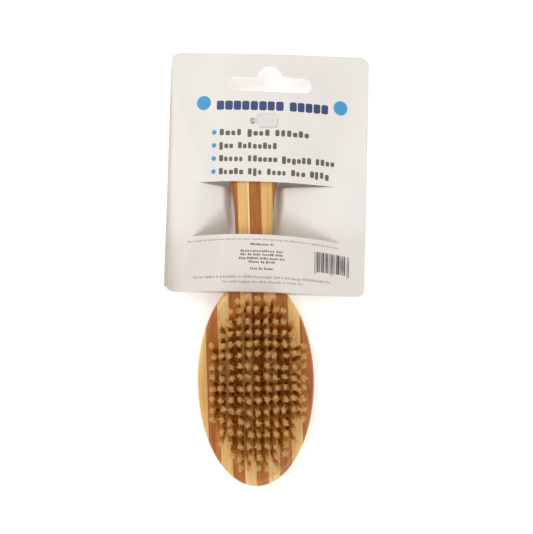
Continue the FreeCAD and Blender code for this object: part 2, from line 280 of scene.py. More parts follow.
def bamboo(name, colours, seed):
    """Varnished laminated bamboo: long fibres, darker vessels, a knuckle and a glue line, with
    painted shade on the handle and between the tufts.
    """
    finish = Finish(name, Coat_Roughness=0.09, Coat_IOR=1.5, Specular_IOR_Level=0.3)
    place = finish.place()
    side, along, up = (finish.axis(place, index) for index in range(3))
    shift = tuple(seed * step for step in SEED_STEP)

    # the wood's own pattern
    waver = finish.noise(finish.stretch(place, (40, 14, 40), shift), 1.0) - 0.5
    across = side + waver * GRAIN_WAVER
    grain_sockets = {0: across, 1: along * GRAIN_STRETCH + seed * GRAIN_STEP, 2: up}
    grain = finish.node("ShaderNodeCombineXYZ", sockets=grain_sockets)
    broad = finish.noise(finish.stretch(place, (330, 9, 330), shift), 1.0, 3.0)
    fibre = finish.noise(grain, 2600.0, 3.0, 0.6)
    streak = finish.noise(grain, 900.0, 2.0, 0.55)
    mottle = finish.noise(finish.stretch(place, (420, 75, 420), shift), 1.0, 2.0, 0.6)
    vessel = finish.noise(finish.stretch(place, (1500, 46, 1500), shift), 1.0, 1.0)
    vessel = vessel.fade(0.66, 0.78)
    knuckle_y = KNUCKLE_Y + KNUCKLE_SPREAD * math.sin(seed * 12.9)
    knuckle = 1 - (along - knuckle_y + waver * KNUCKLE_WAVER).size().fade(0.0, KNUCKLE_HALF)
    painted_handle_shade = along.fade(HANDLE_STARTS_Y, HANDLE_STARTS_Y + 8 * MM)
    tone = finish.blend(broad.fade(0.25, 0.75), colours["main"], colours["pale"])
    tone = finish.blend(streak.fade(0.48, 0.8) * 0.65, tone, colours["deep"])
    tone = finish.blend(fibre.fade(0.4, 0.85) * 0.4, tone, colours["deep"])
    tone = finish.blend(mottle.fade(0.52, 0.72) * colours["mottle"], tone, colours["deep"])
    tone = finish.blend(vessel * 0.55, tone, colours["vessel"])
    tone = finish.blend(knuckle * 0.45, tone, colours["deep"])
    # painted shade: the handle is darkened towards the deep tone
    tone = finish.blend(painted_handle_shade * HANDLE_PAINTED_SHADE, tone, colours["deep"])

    # joints between the strips
    from_joint = side + along * math.tan(STRIP_SKEW) - FIRST_JOINT_X
    cycle = from_joint / STRIP_WIDTH
    nearest = (cycle - cycle.maths("ROUND", cycle)).size() * STRIP_WIDTH
    if colours is LIGHT_BAMBOO:
        off_seam = (from_joint - (SEAM_JOINT * STRIP_WIDTH - SEAM_WIDTH / 2)).size()
        seam = 1 - off_seam.fade(0.4 * SEAM_WIDTH, 0.6 * SEAM_WIDTH)
        seam = seam * along.fade(HANDLE_STARTS_Y, HANDLE_STARTS_Y + 4 * MM)
        tone = finish.blend(seam * 0.8, tone, SEAM_PALE)
    glue = 1 - nearest.fade(GLUE_HALF, GLUE_FADED)
    tone = finish.blend(glue * 0.5, tone, colours["vessel"])

    # bare wood between the tufts, with painted shade
    away_x = ((side - FIELD_X) / FIELD_HALF_WIDTH).size() ** FIELD_SQUARENESS
    away_y = (along / FIELD_HALF_LENGTH).size() ** FIELD_SQUARENESS
    bare = 1 - (away_x + away_y).fade(0.75, 1.05)
    # painted shade between the tufts: the wood's tone times a warm brown
    warm = finish.blend(1.0, tone, WARM_PAINTED_SHADE, "MULTIPLY")

    height = fibre * 0.5 + streak * 0.3 - vessel * 0.8 - glue * 0.8
    return finish.done(
        Base_Color=finish.blend(bare * 0.6, tone, warm),
        Roughness=0.34 + streak * 0.22 + bare * 0.4,
        Coat_Weight=VARNISH - bare * VARNISH,
        Normal=finish.bump(height, GRAIN_DEPTH, 0.35),
    )


# the bristles' brown, partly painted shade, starts this much higher or lower from one patch to
# the next
PATCH_DEPTH = 3 * MM


def bristle(name, depth_colour_and_shade):
    """Natural hog bristle: blond at the split tips and browner lower down, which is partly the
    bristle's own colour and partly painted shade deep in the tufts. The second argument scales
    this.
    """
    finish = Finish(name, Specular_IOR_Level=0.25)
    place = finish.place()
    height = finish.axis(place, 2)
    strand = finish.noise(finish.stretch(place, (2300, 2300, 60)), 1.0, 1.0)
    patch = finish.noise(finish.stretch(place, (160, 160, 20)), 1.0, 1.0)
    depth = (TIP_Z - height - (patch - 0.5) * PATCH_DEPTH) * depth_colour_and_shade
    rise = 1 - depth.fade(0.0, TIP_Z - FACE_Z)
    # root to tip: browner low down, partly the bristle's colour and partly painted shade in the
    # tufts
    stops = [
        (0.0, rgb(232, 134, 34)),
        (0.5, rgb(238, 148, 42)),
        (0.8, rgb(242, 166, 64)),
        (1.0, rgb(255, 218, 140)),
    ]
    tone = finish.node("ShaderNodeValToRGB", {"stops": stops}, {0: rise})
    tone = finish.blend(strand.fade(0.45, 0.7) * 0.6, tone, rgb(255, 206, 122))
    tone = finish.blend((1 - strand).fade(0.5, 0.7) * 0.6, tone, rgb(150, 78, 20))
    return finish.done(Base_Color=tone, Roughness=0.38 + strand * 0.2)


# painted shade: the card is painted darker below this, and fades to that over this much
PAINTED_SHADE_Y = 68 * MM
PAINTED_SHADE_FADE = 12 * MM


def card_board():
    """Coated white board: a faint warm mottle, soft fibres under the coating, and painted shade
    on its lower part.
    """
    finish = Finish("card_board", Coat_Roughness=0.3, Specular_IOR_Level=0.35, Coat_Weight=0.12)
    place = finish.place()
    cloud = finish.noise(place, 26.0, 3.0)
    fibre = finish.noise(finish.stretch(place, (1, 1.7, 1)), 900.0, 4.0, 0.65)
    tone = finish.blend(cloud.fade(0.3, 0.7), rgb(238, 233, 227), rgb(243, 238, 233))
    tone = finish.blend(fibre.fade(0.5, 0.8) * 0.25, tone, rgb(226, 219, 210))
    # painted shade: the board's lower part is darkened towards this colour
    low = 1 - finish.axis(place, 1).fade(PAINTED_SHADE_Y, PAINTED_SHADE_Y + PAINTED_SHADE_FADE)
    tone = finish.blend(low * 0.5, tone, rgb(224, 217, 208))
    return finish.done(
        Base_Color=tone, Roughness=0.5 + fibre * 0.18, Normal=finish.bump(fibre, 0.03 * MM, 0.25)
    )


def ink(name, colour, worn):
    """Printing ink, with the board showing through where it is thin."""
    finish = Finish(name, Specular_IOR_Level=0.4)
    place = finish.place()
    speck = finish.noise(place, 5200.0, 2.0, 0.7)
    tone = finish.blend(speck.fade(0.42, 0.8) * 0.5, colour, worn)
    return finish.done(Base_Color=tone, Roughness=0.42 + speck * 0.2)


def nylon():
    """Milky moulded nylon."""
    finish = Finish(
        "nylon", Transmission_Weight=0.25, IOR=1.53, Specular_IOR_Level=0.5, Coat_Weight=0.1
    )
    place = finish.place()
    cloud = finish.noise(place, 700.0, 2.0)
    tone = finish.blend(cloud.fade(0.3, 0.7), rgb(255, 254, 250), rgb(248, 247, 242))
    return finish.done(
        Base_Color=tone, Roughness=0.28 + cloud * 0.16, Normal=finish.bump(cloud, 0.04 * MM, 0.3)
    )


def flat_wire():
    """Rolled steel wire, lightly brushed along its length."""
    finish = Finish("flat_wire", Metallic=1.0)
    place = finish.place()
    brushed = finish.noise(finish.stretch(place, (300, 9000, 9000)), 1.0, 2.0)
    tone = finish.blend(brushed, rgb(150, 148, 142), rgb(196, 194, 188))
    return finish.done(Base_Color=tone, Roughness=0.3 + brushed * 0.25)


# ------------------------------------------------------------------ mesh makers


def mesh_piece(name, points, faces, material):
    """A smooth-shaded mesh object, linked to the scene."""
    mesh = bpy.data.meshes.new(name)
    mesh.from_pydata(np.asarray(points).tolist(), [], faces)
    mesh.materials.append(material)
    mesh.polygons.foreach_set("use_smooth", [True] * len(mesh.polygons))
    mesh.update()
    piece = bpy.data.objects.new(name, mesh)
    bpy.context.scene.collection.objects.link(piece)
    return piece


# ------------------------------------------------------------------------ tufts

TUFT_SEED = 41
HAIRS_PER_TUFT = 66
# the places along a hair where its line has a point, as shares of its length
HAIR_STEPS = np.array([0.0, 0.3, 0.6, 0.82, 0.9, 0.935, 0.97, 1.0])
HAIR_SIDES = 3
HAIR_R = 0.1 * MM
HAIR_TIP_R = 0.09 * MM
ROOT_SPREAD = 0.95 * MM
TIP_SPREAD = 1.0 * MM
ROOT_DEPTH = 1.0 * MM
# shorter bristles that stand between the tufts, as a share of all of them
FILL_SHARE = 0.36
FILL_SPREAD = 2.4 * MM
FILL_LENGTH = (0.35, 0.7)
# how the ends gather and hook over
CLUMPS = 5
GATHER = 0.5 * MM
# each clump's hooks point this far round from its own side of the tuft, in radians
SWIRL = 1.9
SWIRL_WANDER = 0.7
CURL_STARTS = 0.9
CURL_MEAN = 120.0
CURL_SPREAD = 40.0
CURL_LIMITS = (15.0, 200.0)
LEAN = 0.4 * MM
# how late along a hair it spreads, leans and hooks: 1 is evenly, more is later
SPREAD_POWER = 1.2
LEAN_POWER = 1.6
HOOK_POWER = 1.3
WANDER = 0.07 * MM
LENGTH_SPREAD = 0.02
HOOK_SPARE = 1.1 * MM
HIGHEST_Z = 31.6 * MM


def tuft_rows():
    """Rows of (root, tip) pairs, as the holes are drilled."""
    rows = []
    for row in range(ROW_COUNT):
        y = ((ROW_COUNT - 1) / 2 - row) * ROW_PITCH
        places = []
        for column in range(COLUMN_COUNT):
            x = (column - (COLUMN_COUNT - 1) / 2) * COLUMN_PITCH
            across, along = abs(x) / FIELD_HALF_WIDTH, abs(y) / FIELD_HALF_LENGTH
            if across**FIELD_SQUARENESS + along**FIELD_SQUARENESS > 1:
                continue
            curved_y = y * (1 - ROW_CURVE * across**2)
            root = np.array([FIELD_X + x, curved_y, FACE_Z])
            tip_x = FIELD_X + TIP_SHIFT_X + x * FAN_ACROSS
            places.append((root, np.array([tip_x, curved_y * FAN_ALONG, TIP_Z])))
        rows.append(places)
    return rows


# any direction that no bristle runs along
TUBE_HELPER = np.array([0.31, 0.95, 0.0])


def tube_points(paths, radii, sides):
    """Rings of points round many paths at once. paths is (hairs, steps, 3)."""
    runs = np.gradient(paths, axis=1)
    runs /= np.linalg.norm(runs, axis=2, keepdims=True)
    first = np.cross(runs, TUBE_HELPER)
    first /= np.linalg.norm(first, axis=2, keepdims=True)
    second = np.cross(runs, first)
    turns = np.arange(sides) * 2 * math.pi / sides
    ring = (
        first[:, :, None, :] * np.cos(turns)[None, None, :, None]
        + second[:, :, None, :] * np.sin(turns)[None, None, :, None]
    )
    return paths[:, :, None, :] + ring * radii[None, :, None, None]


def tube_faces(hairs, steps, sides):
    """Faces for the rings of tube_points, with both ends of each tube closed."""
    faces = []
    for hair in range(hairs):
        base = hair * steps * sides
        for step in range(steps - 1):
            low = base + step * sides
            for side in range(sides):
                after = (side + 1) % sides
                faces.append((low + side, low + after, low + sides + after, low + sides + side))
        top = base + (steps - 1) * sides
        faces.append(tuple(top + side for side in range(sides)))
        faces.append(tuple(base + side for side in reversed(range(sides))))
    return faces


def circle(turn):
    """Unit directions for an array of angles."""
    return np.stack([np.cos(turn), np.sin(turn)], axis=1)


def hair_paths(root, tip, chance):
    """The lines of one tuft's bristles, from inside the hole to their hooked ends."""
    count, steps = HAIRS_PER_TUFT, HAIR_STEPS
    reach = np.linalg.norm(tip - root)
    axis = (tip - root) / reach
    first = np.cross(axis, [0.0, 1.0, 0.0])
    first /= np.linalg.norm(first)
    second = np.cross(axis, first)

    turn = chance.random(count) * 2 * math.pi
    out = circle(turn) * np.sqrt(chance.random(count))[:, None]
    fill = chance.random(count) < FILL_SHARE
    spread = np.where(fill, FILL_SPREAD, TIP_SPREAD) - ROOT_SPREAD
    lean = chance.normal(0, LEAN, 2)
    clump = chance.integers(0, CLUMPS, count)
    clump_turn = chance.random(CLUMPS) * 2 * math.pi
    curl_way = circle(clump_turn[clump] + SWIRL + chance.normal(0, SWIRL_WANDER, count))
    curl = np.radians(np.clip(chance.normal(CURL_MEAN, CURL_SPREAD, count), *CURL_LIMITS))
    length = reach * (1 + chance.normal(0, LENGTH_SPREAD, count)) + HOOK_SPARE
    length *= np.where(fill, chance.uniform(*FILL_LENGTH, count), 1.0)

    side = out[:, None, :] * (ROOT_SPREAD + spread[:, None] * steps**SPREAD_POWER)[:, :, None]
    pulled = lean + GATHER * circle(clump_turn[clump])
    side += pulled[:, None, :] * (steps**LEAN_POWER)[None, :, None]
    side += chance.normal(0, WANDER, side.shape) * (steps > 0)[None, :, None]
    up = length[:, None] * steps - ROOT_DEPTH

    hooked = np.clip((steps - CURL_STARTS) / (1 - CURL_STARTS), 0, 1) ** HOOK_POWER
    bend = curl[:, None] * hooked
    bend = (bend[:, 1:] + bend[:, :-1]) / 2
    runs = np.diff(steps) * length[:, None]
    up[:, 1:] += np.cumsum(runs * (np.cos(bend) - 1), axis=1)
    side[:, 1:] += curl_way[:, None, :] * np.cumsum(runs * np.sin(bend), axis=1)[:, :, None]
    paths = root + axis * up[:, :, None] + first * side[:, :, 0:1] + second * side[:, :, 1:2]
    over = np.maximum(0, paths[:, :, 2].max(axis=1) - HIGHEST_Z)
    paths[:, :, 2] -= over[:, None] * steps
    return paths


def bristle_rows(material):
    """One piece for each row of tufts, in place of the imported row."""
    chance = np.random.default_rng(TUFT_SEED)
    radii = np.interp(HAIR_STEPS, [0, 1], [HAIR_R, HAIR_TIP_R])
    for number, row in enumerate(tuft_rows(), 1):
        paths = np.concatenate([hair_paths(root, tip, chance) for root, tip in row])
        points = tube_points(paths, radii, HAIR_SIDES).reshape(-1, 3)
        faces = tube_faces(len(paths), len(HAIR_STEPS), HAIR_SIDES)
        piece = mesh_piece(f"bristle_tufts_{number:02d}", points, faces, material)
        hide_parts(f"bristle_row_{number:02d}")
        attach(piece, "brush")


# bristles that have come loose at the head's end, as (start, middle, end) in millimetres
STRAY_STEPS = 14
STRAY_SIDES = 6
STRAYS = [
    ((-12.0, -37.0, 15.5), (-10.2, -43.0, 14.6), (-4.6, -45.4, 14.25)),
    ((1.2, -50.0, 14.1), (7.0, -49.6, 15.2), (13.2, -45.4, 14.9)),
]


def stray_bristles(material):
    """Curved single bristles that lie on the wood."""
    share = np.linspace(0, 1, STRAY_STEPS)[:, None]
    start, middle, end = (np.array(place) * MM for place in zip(*STRAYS))
    paths = (
        start[:, None, :] * (1 - share) ** 2
        + middle[:, None, :] * 2 * share * (1 - share)
        + end[:, None, :] * share**2
    )
    radii = np.full(STRAY_STEPS, HAIR_R)
    points = tube_points(paths, radii, STRAY_SIDES).reshape(-1, 3)
    faces = tube_faces(len(paths), STRAY_STEPS, STRAY_SIDES)
    piece = mesh_piece("stray_bristles", points, faces, material)
    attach(piece, "brush")


# ------------------------------------------------------------------------- card

# over how much of a height change its bends are rounded, as a share
SOFT_BEND = 0.4
FIRM_BEND = 0.15
SHARP_BEND = 0.1
# the upper panel flattens towards the card's top between these
PANEL_DROP_V = 34 * MM
PANEL_DROP = 30 * MM
PANEL_WIDENS = 45 * MM
# half width of the flat that lies on the handle: the panel's, the band's top and bottom
PANEL_SHELF = 12.5 * MM
BAND_SHELF = (13.5 * MM, 18.5 * MM)
CREASE_R = 0.5 * MM
WALL_CREASE_R = 0.8 * MM


def ramp(t, bend=0.25):
    """0 below 0 and 1 above 1, straight between, with rounded bends."""
    t = min(1.0, max(0.0, t))
    if t > 0.5:
        return 1 - ramp(1 - t, bend)
    if t < bend:
        return t * t / (2 * bend * (1 - bend))
    return (t - bend / 2) / (1 - bend)


def mixed(low, high, share):
    """A value between low and high."""
    return low + (high - low) * share


def lower_of(a, b, rounding=CREASE_R):
    """The smaller of two heights, with a rounded crease where they meet."""
    h = max(rounding - abs(a - b), 0.0) / rounding
    return min(a, b) - h * h * rounding / 4


# how strongly the card's cross lines bow towards its lower edge, as (v, bow per metre)
BOW = [
    (-60 * MM, 0.3),
    (-53 * MM, 1.24),
    (-33 * MM, 1.9),
    (-5 * MM, 0.93),
    (30 * MM, 0.6),
    (60 * MM, 0.2),
]


def card_xy(u, v):
    """Where a point of the flat card lies, seen from above."""
    bow = float(np.interp(v, [place for place, _ in BOW], [value for _, value in BOW]))
    v -= bow * (u - WEAVE_U) ** 2
    c, s = math.cos(CARD_TURN), math.sin(CARD_TURN)
    return CARD_CENTRE[0] + u * c - v * s, CARD_CENTRE[1] + u * s + v * c


def across(u, x, slit_end, shelf):
    """0 at the slit's end, 1 where the card reaches the handle's shelf on that side."""
    reach = slit_end - abs(u) + abs(x) - shelf
    return (slit_end - abs(u)) / reach if abs(x) > shelf else 1.0


def panel_height(u, v, x):
    """The card above the upper slit, over the handle."""
    rise = (CARD_TOP_V - v) / (CARD_TOP_V - UPPER_SLIT_V)
    margin = mixed(TOP_EDGE_Z, UPPER_MARGIN_Z, rise * rise)
    ridge = mixed(PANEL_Z, PANEL_TOP_Z, ramp((v - PANEL_DROP_V) / PANEL_DROP, SOFT_BEND))
    widening = ramp((v - UPPER_SLIT_V) / PANEL_WIDENS, SOFT_BEND)
    slit_end = mixed(UPPER_SLIT_HALF, CARD_HALF_WIDTH, widening)
    return mixed(margin, ridge, ramp(across(u, x, slit_end, PANEL_SHELF)))


def strap_height(u, v, x):
    """The card between the slits: it dives beside the handle and passes under it."""
    share = (UPPER_SLIT_V - v) / (UPPER_SLIT_V - LOWER_SLIT_V)
    margin = mixed(UPPER_MARGIN_Z, LOWER_MARGIN_Z, share)
    slit_end = mixed(UPPER_SLIT_HALF, LOWER_SLIT_HALF, share)
    rise = ramp(across(u, x, slit_end, GRIP_HALF_WIDTH), SHARP_BEND)
    shelf = mixed(margin, STRAP_SHELF_Z, rise)
    slit_x = abs(CARD_CENTRE[0] + math.copysign(LOWER_SLIT_HALF, u - WEAVE_U))
    slope_across = (LOWER_MARGIN_Z - STRAP_CORNER_Z) / (slit_x - GRIP_HALF_WIDTH)
    slope_along = (STRAP_SHELF_Z - STRAP_CORNER_Z) / (CREASE_V - LOWER_SLIT_V)
    dive = STRAP_CORNER_Z + slope_across * (abs(x) - GRIP_HALF_WIDTH)
    dive += slope_along * (v - LOWER_SLIT_V)
    wall = float(np.interp(abs(x), [d for d, _ in STRAP_WALL], [z for _, z in STRAP_WALL]))
    return max(STRAP_WALL[0][1], lower_of(lower_of(shelf, dive), wall, WALL_CREASE_R))


def band_height(u, v, x):
    """The card below the lower slit, over the handle again."""
    share = (LOWER_SLIT_V - v) / (LOWER_SLIT_V - CARD_BOTTOM_V)
    margin = mixed(LOWER_MARGIN_Z, BOTTOM_EDGE_Z, share)
    ridge = mixed(BAND_Z, BAND_BOTTOM_Z, share)
    slit_end = mixed(LOWER_SLIT_HALF, CARD_HALF_WIDTH, ramp(share, SOFT_BEND))
    shelf = mixed(*BAND_SHELF, share)
    return mixed(margin, ridge, ramp(across(u, x, slit_end, shelf), FIRM_BEND))


HEIGHTS = {"panel": panel_height, "strap": strap_height, "band": band_height}


def card_point(u, v, zone, lift=0.0):
    """A point on the card in the model's frame. lift is above the underside."""
    x, y = card_xy(u, v)
    return x, y, HEIGHTS[zone](u, v, x) + lift


def zone_of(v):
    if v > UPPER_SLIT_V:
        return "panel"
    return "strap" if v > LOWER_SLIT_V else "band"


def arc(centre, radius, start, end, count):
    """Points on an arc, in count steps. Angles are degrees."""
    turns = [math.radians(start + (end - start) * i / count) for i in range(count + 1)]
    return [(centre[0] + radius * math.cos(a), centre[1] + radius * math.sin(a)) for a in turns]


# steps in the arcs of the card's corners, peg slot and tag hole
CORNER_STEPS = 8
PEG_END_STEPS = 12
PEG_HUMP_STEPS = 20
PEG_FILLET_STEPS = 4
TAG_HOLE_STEPS = 24
# the peg slot: a long slot with rounded ends, and a round hump on its upper side
PEG_SLOT_V = 45.9 * MM
PEG_SLOT_HALF = 42.7 * MM / 2
PEG_SLOT_R = 3.8 * MM
PEG_HUMP_V = 49.0 * MM
PEG_HUMP_R = 6.2 * MM
PEG_FILLET_R = 1.0 * MM
TAG_HOLE = (-8.2 * MM, 26.95 * MM)
TAG_HOLE_R = 1.5 * MM
SLIT_STEPS = 40
CARD_PITCH = 0.8 * MM
EDGE_ANGLE = 40


def card_outline():
    """The flat card's outer edge, from its upper right corner round to the left."""
    u, r = CARD_HALF_WIDTH - CARD_CORNER_R, CARD_CORNER_R
    high, low = CARD_TOP_V - r, CARD_BOTTOM_V + r
    points = []
    for corner, start in (((u, high), 0), ((-u, high), 90), ((-u, low), 180), ((u, low), 270)):
        points += arc(corner, r, start, start + 90, CORNER_STEPS)
    return points


def peg_slot():
    end, r, v = PEG_SLOT_HALF - PEG_SLOT_R, PEG_SLOT_R, PEG_SLOT_V
    beside, fillet_v = PEG_HUMP_R + PEG_FILLET_R, v + r + PEG_FILLET_R
    points = arc((-end, v), r, 90, 270, PEG_END_STEPS) + arc((end, v), r, -90, 90, PEG_END_STEPS)
    points += arc((beside, fillet_v), PEG_FILLET_R, 270, 180, PEG_FILLET_STEPS)
    points += arc((0, PEG_HUMP_V), PEG_HUMP_R, 0, 180, PEG_HUMP_STEPS)
    points += arc((-beside, fillet_v), PEG_FILLET_R, 0, -90, PEG_FILLET_STEPS)
    return points


def tag_hole():
    return arc(TAG_HOLE, TAG_HOLE_R, 0, 360, TAG_HOLE_STEPS)[:-1]


def slit(v, half, opening):
    """A thin wedge: closed at both ends, with its lower lip dropped beside the handle."""
    places = [half * (2 * i / SLIT_STEPS - 1) for i in range(SLIT_STEPS + 1)]
    upper = [(u, v) for u in places[1:-1]]
    lower = []
    for u in reversed(places[1:-1]):
        x = card_xy(u, v)[0]
        lower.append((u, v - opening * min(1.0, across(u, x, half, GRIP_HALF_WIDTH))))
    return [(-half, v)] + upper + [(half, v)] + lower


def inside(point, outline):
    """Whether a point lies within a closed outline."""
    x, y = point
    found = False
    for (x1, y1), (x2, y2) in zip(outline, outline[1:] + outline[:1]):
        if (y1 > y) != (y2 > y) and x < x1 + (y - y1) * (x2 - x1) / (y2 - y1):
            found = not found
    return found


def card_mesh():
    """Points as (u, v) and triangles of the flat card, with its holes left open."""
    outlines = [
        card_outline(),
        peg_slot(),
        tag_hole(),
        slit(UPPER_SLIT_V, UPPER_SLIT_HALF, UPPER_SLIT_GAP),
        slit(LOWER_SLIT_V, LOWER_SLIT_HALF, LOWER_SLIT_GAP),
    ]
    points, edges = [], []
    for outline in outlines:
        first = len(points)
        points += [Vector(p) for p in outline]
        count = len(outline)
        edges += [(first + i, first + (i + 1) % count) for i in range(count)]
    columns = int(2 * CARD_HALF_WIDTH / CARD_PITCH)
    rows = int((CARD_TOP_V - CARD_BOTTOM_V) / CARD_PITCH)
    for i in range(1, columns):
        for j in range(1, rows):
            u = mixed(-CARD_HALF_WIDTH, CARD_HALF_WIDTH, i / columns)
            v = mixed(CARD_BOTTOM_V, CARD_TOP_V, j / rows)
            near = min(abs(v - UPPER_SLIT_V), abs(v - LOWER_SLIT_V))
            if near > CARD_PITCH * 0.5:
                points.append(Vector((u, v)))
    made = delaunay_2d_cdt(points, edges, [], 0, 1e-7)
    flat, triangles = made[0], made[2]
    kept = []
    for triangle in triangles:
        middle = sum((flat[i] for i in triangle), Vector((0, 0))) / 3
        if not inside(middle, outlines[0]):
            continue
        if any(inside(middle, outline) for outline in outlines[1:]):
            continue
        kept.append(triangle)
    return [(p.x, p.y) for p in flat], kept


def vertex_zones(flat, triangles):
    """Each point's zone, from the triangles that use it."""
    zones = {}
    for triangle in triangles:
        middle_v = sum(flat[i][1] for i in triangle) / 3
        for i in triangle:
            zones[i] = zone_of(middle_v)
    return zones


def hang_card(material):
    """The bent sheet with its thickness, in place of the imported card."""
    flat, triangles = card_mesh()
    zones = vertex_zones(flat, triangles)
    used = sorted(zones)
    index = {old: new for new, old in enumerate(used)}
    count = len(used)
    lower = [card_point(*flat[i], zones[i]) for i in used]
    upper = [card_point(*flat[i], zones[i], CARD_THICK) for i in used]
    faces = [tuple(index[i] + count for i in t) for t in triangles]
    faces += [tuple(index[i] for i in reversed(t)) for t in triangles]
    sides = {}
    for t in triangles:
        for a, b in zip(t, t[1:] + t[:1]):
            sides[(a, b)] = sides.get((a, b), 0) + 1
    for a, b in sides:
        if (b, a) not in sides:
            faces.append((index[a], index[b], index[b] + count, index[a] + count))
    piece = mesh_piece("hang_card_board", lower + upper, faces, material)
    piece.data.set_sharp_from_angle(angle=math.radians(EDGE_ANGLE))
    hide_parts("hang_card")
    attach(piece, "card")


# --------------------------------------------------------------------- printing

PRINT_SEED = 7
INK_LIFT = CARD_THICK + 0.04 * MM
BLOCK_CORNER_R = 0.25 * MM
BLOCK_CORNER_STEPS = 2
DISC_RINGS = 5
DISC_STEPS = 32
# proportions of a row of blocks, as shares of a block's advance or of its height
WORD_GAP = 0.75
TALL_CHANCE = 0.28
LOW_HEIGHT = 0.72
DROP_CHANCE = 0.08
DROP_DEPTH = 0.24
BLOCK_ROUNDING = 0.18
BLOCK_WIDTH = (0.62, 0.82)
TITLE_BLOCK_WIDTH = (0.84, 0.9)


class Print:
    """Patches of ink that follow the card's bends."""

    def __init__(self):
        self.points = []
        self.faces = []

    def patch(self, outline, zone):
        """A small flat outline in (u, v), as a fan round its middle."""
        first = len(self.points)
        middle_u = sum(p[0] for p in outline) / len(outline)
        middle_v = sum(p[1] for p in outline) / len(outline)
        self.points.append(card_point(middle_u, middle_v, zone, INK_LIFT))
        self.points += [card_point(u, v, zone, INK_LIFT) for u, v in outline]
        count = len(outline)
        for i in range(count):
            self.faces.append((first, first + 1 + i, first + 1 + (i + 1) % count))

    def block(self, u, v, width, height, zone, radius=BLOCK_CORNER_R):
        """A round-cornered block, from its lower left corner."""
        r = min(radius, width / 2, height / 2)
        outline = []
        corners = (
            (u + width - r, v + height - r, 0),
            (u + r, v + height - r, 90),
            (u + r, v + r, 180),
            (u + width - r, v + r, 270),
        )
        for cu, cv, start in corners:
            outline += arc((cu, cv), r, start, start + 90, BLOCK_CORNER_STEPS)
        self.patch(outline, zone)

    def disc(self, u, v, radius, zone):
        """A round patch in rings, so that it can bend."""
        stride = DISC_STEPS + 1
        for ring in range(DISC_RINGS):
            low, high = radius * ring / DISC_RINGS, radius * (ring + 1) / DISC_RINGS
            inner = arc((u, v), low, 0, 360, DISC_STEPS)
            outer = arc((u, v), high, 0, 360, DISC_STEPS)
            first = len(self.points)
            self.points += [card_point(*p, zone, INK_LIFT) for p in inner + outer]
            for i in range(first, first + DISC_STEPS):
                self.faces.append((i, i + stride, i + stride + 1, i + 1))

    def piece(self, name, material):
        made = mesh_piece(name, self.points, self.faces, material)
        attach(made, "card")


def block_line(sheet, chance, start, end, base, height, words, zone, capitals=False):
    """A line of word-like rows of blocks that stand for wording."""
    letters = sum(words) + WORD_GAP * (len(words) - 1)
    advance = (end - start) / letters
    u = start
    for word in words:
        for place in range(word):
            tall = capitals or place == 0 or chance.random() < TALL_CHANCE
            rise = height * (1.0 if tall else LOW_HEIGHT)
            drops = not capitals and chance.random() < DROP_CHANCE
            drop = height * DROP_DEPTH if drops else 0.0
            width = advance * chance.uniform(*(TITLE_BLOCK_WIDTH if capitals else BLOCK_WIDTH))
            sheet.block(u, base - drop, width, rise + drop, zone, BLOCK_ROUNDING * height)
            u += advance
        u += WORD_GAP * advance


# the layout, in millimetres on the flat card. A row's words are counts of blocks.
# title words: (start, end, blocks)
TITLE_V, TITLE_HEIGHT = 32.4, 4.6
TITLE_WORDS = [(-26.6, 7.8, 8), (10.4, 30.7, 5)]
# the discs beside the title, and the row of small ones down the left
TITLE_DISCS = [(-33.3, 36.2), (36.5, 36.2)]
TITLE_DISC_R = 3.6
LINE_DISC_U, LINE_DISC_R = -27.6, 1.17
# lines beside the small discs: (words, end)
FIRST_LINE_V, LINE_PITCH, LINE_DROP, LINE_HEIGHT = 21.1, 6.58, 1.6, 3.2
LINE_START_U = -24.8
LINES = [([4, 4, 6], 21.3), ([3, 8], 4.9), ([5, 6, 6, 4], 34.6), ([5, 3, 4, 3, 4], 31.9)]
# centred rows on the lower band: (v, width, height, words)
CENTRED_U = -1.9
CENTRED_ROWS = [
    (-36.0, 12.0, 1.1, [11, 2]),
    (-39.4, 21.5, 1.1, [15, 3]),
    (-41.2, 21.5, 1.1, [3, 2, 4, 6, 4]),
    (-43.1, 23.3, 1.1, [4, 7, 5, 5, 3]),
    (-44.9, 13.4, 1.1, [6, 2, 5]),
    (-48.3, 11.6, 1.2, [4, 2, 5]),
]
# faint rows: (start, end, v, height, words)
FAINT_ROWS = [
    (-40, 37, -33.4, 0.8, [4, 5, 2, 6, 4, 7, 3, 5, 6, 4, 8, 3, 6, 4, 2, 5, 7, 4]),
    (-36.5, 33.2, -52.6, 1.3, [7, 6, 2, 1, 9, 2, 6, 12, 4, 1, 4, 6, 14, 3]),
    (-21.5, 19.5, -55.0, 1.1, [3, 6, 8, 4, 5, 9, 2, 6, 4]),
]
# a pattern of random bars, with pairs of longer ones at its ends and middle
BARS_START, BARS_END, BARS_V, BARS_HEIGHT = 25.2 * MM, 42.0 * MM, -47.3 * MM, 10.6 * MM
BAR_THINNEST, BAR_SPREAD, BAR_GAP = 0.18, 0.5, 0.2
BAR_CORNER_R = 0.02 * MM
GUARD_OFFSET, GUARD_WIDTH, GUARD_DROP = 0.35 * MM, 0.22 * MM, 1.1 * MM
GUARD_MARGIN = 0.9 * MM


